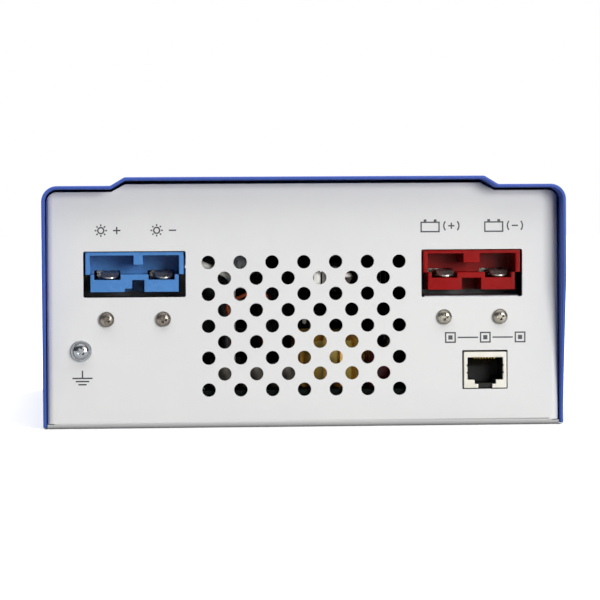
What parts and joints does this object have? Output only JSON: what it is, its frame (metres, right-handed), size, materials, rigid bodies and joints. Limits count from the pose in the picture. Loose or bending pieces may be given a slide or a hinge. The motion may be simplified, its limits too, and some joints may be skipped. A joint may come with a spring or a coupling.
{
  "type": "charge controller",
  "caption": "Solar charge controller in a folded steel case, with power sockets, a data jack and an earth screw on one end, a display and keys on top and a fan at the rear.",
  "frame": {"origin": "middle of the underside of the base plate, on the surface that the case lies on", "axes": "+Z out of the display side, -Y out of the connection end, +X to the right when facing the connection end"},
  "size_m": [0.1852, 0.277, 0.09],
  "materials": {
    "chassis_powder": "fine semi-matt light grey powder coat",
    "cover_paint": "semi-gloss blue powder coat",
    "zinc_steel": "bright zinc plate",
    "dark_screws": "worn nickel, greyed",
    "bright_screws": "bright nickel",
    "window_glass": "clear polished window with a dark tint",
    "lcd_bezel": "satin black frame with a grey-green glass",
    "board_green": "dark green solder mask",
    "brass_plain": "machined brass",
    "key_plastic": "fine matt",
    "switch_plastic": "matt",
    "light_plastic": "milky clear",
    "ribbon_grey": "matt grey ribbon",
    "header_plastic": "matt",
    "chip_plastic": "matt moulded epoxy",
    "can_aluminium": "drawn can, satin",
    "sleeve_plastic": "shrunk sleeve",
    "core_coat": "yellow epoxy coat",
    "winding_copper": "enamelled copper wire",
    "fuse_plastic": "clear green",
    "film_plastic": "dipped dark red epoxy",
    "sink_aluminium": "extruded, plain",
    "transistor_epoxy": "moulded epoxy with a tinned tab",
    "strip_rubber": "silicone rubber",
    "lug_tin": "tinned copper",
    "housing_blue": "satin moulded polycarbonate",
    "housing_red": "satin moulded polycarbonate",
    "contact_silver": "silver plate",
    "spring_steel": "stainless strip",
    "bracket_dark": "black zinc plate",
    "bracket_light": "bright zinc plate",
    "cable_rubber": "red and black jackets",
    "jack_cream": "cream moulding",
    "jack_black": "black moulding",
    "contact_gold": "gold flash",
    "fan_plastic": "glass-filled moulding"
  },
  "bodies": {
    "case": {"chassis": "chassis_powder", "cover": "cover_paint", "cover_screws": "zinc_steel", "display_window": "window_glass", "lcd_module": "lcd_bezel", "display_board": "board_green", "display_standoffs": "brass_plain", "display_screws": "zinc_steel", "key_switches": "switch_plastic", "status_lights": "light_plastic", "ribbon_cable": "ribbon_grey", "ribbon_headers": "header_plastic", "main_board": "board_green", "board_standoffs": "brass_plain", "board_screws": "zinc_steel", "control_chips": "chip_plastic", "filter_capacitors": "can_aluminium", "input_capacitors": "sleeve_plastic", "output_capacitors": "sleeve_plastic", "film_capacitors": "film_plastic", "inductor_cores": "core_coat", "inductor_windings": "winding_copper", "fuses": "fuse_plastic", "heat_sink": "sink_aluminium", "power_transistors": "transistor_epoxy", "thermal_strips": "strip_rubber", "clamp_bars": "zinc_steel", "clamp_screws": "zinc_steel", "terminal_blocks": "brass_plain", "cable_lugs": "lug_tin", "terminal_screws": "zinc_steel", "pv_housing": "housing_blue", "pv_contacts": "contact_silver", "pv_springs": "spring_steel", "pv_bracket": "bracket_dark", "pv_bracket_screws": "dark_screws", "battery_housing": "housing_red", "battery_contacts": "contact_silver", "battery_springs": "spring_steel", "battery_bracket": "bracket_light", "battery_bracket_screws": "bright_screws", "connector_screws": "zinc_steel", "m3_nuts": "zinc_steel", "pv_cables": "cable_rubber", "battery_cables": "cable_rubber", "earth_screw": "bright_screws", "earth_washers": "bright_screws", "data_jack_body": "jack_cream", "data_jack_core": "jack_black", "data_jack_contacts": "contact_gold", "fan_frame": "fan_plastic", "fan_bearing": "brass_plain", "fan_screws": "zinc_steel", "m4_nuts": "zinc_steel", "fan_lead": "cable_rubber"},
    "fan_rotor": {"fan_rotor": "fan_plastic"},
    "menu_key": {"menu_key": "key_plastic"},
    "down_key": {"down_key": "key_plastic"},
    "up_key": {"up_key": "key_plastic"},
    "enter_key": {"enter_key": "key_plastic"}
  },
  "joints": [
    {"name": "fan_spin", "type": "hinge", "parent": "case", "child": "fan_rotor", "pos_m": [0, 0.1035, 0.044], "axis": [0, 1, 0], "continuous": true},
    {"name": "menu_key_press", "type": "slide", "parent": "case", "child": "menu_key", "axis": [0, 0, -1], "range_m": [0, 0.0008], "stiffness_N_per_m": 600, "springref_m": -0.0005},
    {"name": "down_key_press", "type": "slide", "parent": "case", "child": "down_key", "axis": [0, 0, -1], "range_m": [0, 0.0008], "stiffness_N_per_m": 600, "springref_m": -0.0005},
    {"name": "up_key_press", "type": "slide", "parent": "case", "child": "up_key", "axis": [0, 0, -1], "range_m": [0, 0.0008], "stiffness_N_per_m": 600, "springref_m": -0.0005},
    {"name": "enter_key_press", "type": "slide", "parent": "case", "child": "enter_key", "axis": [0, 0, -1], "range_m": [0, 0.0008], "stiffness_N_per_m": 600, "springref_m": -0.0005}
  ]
}
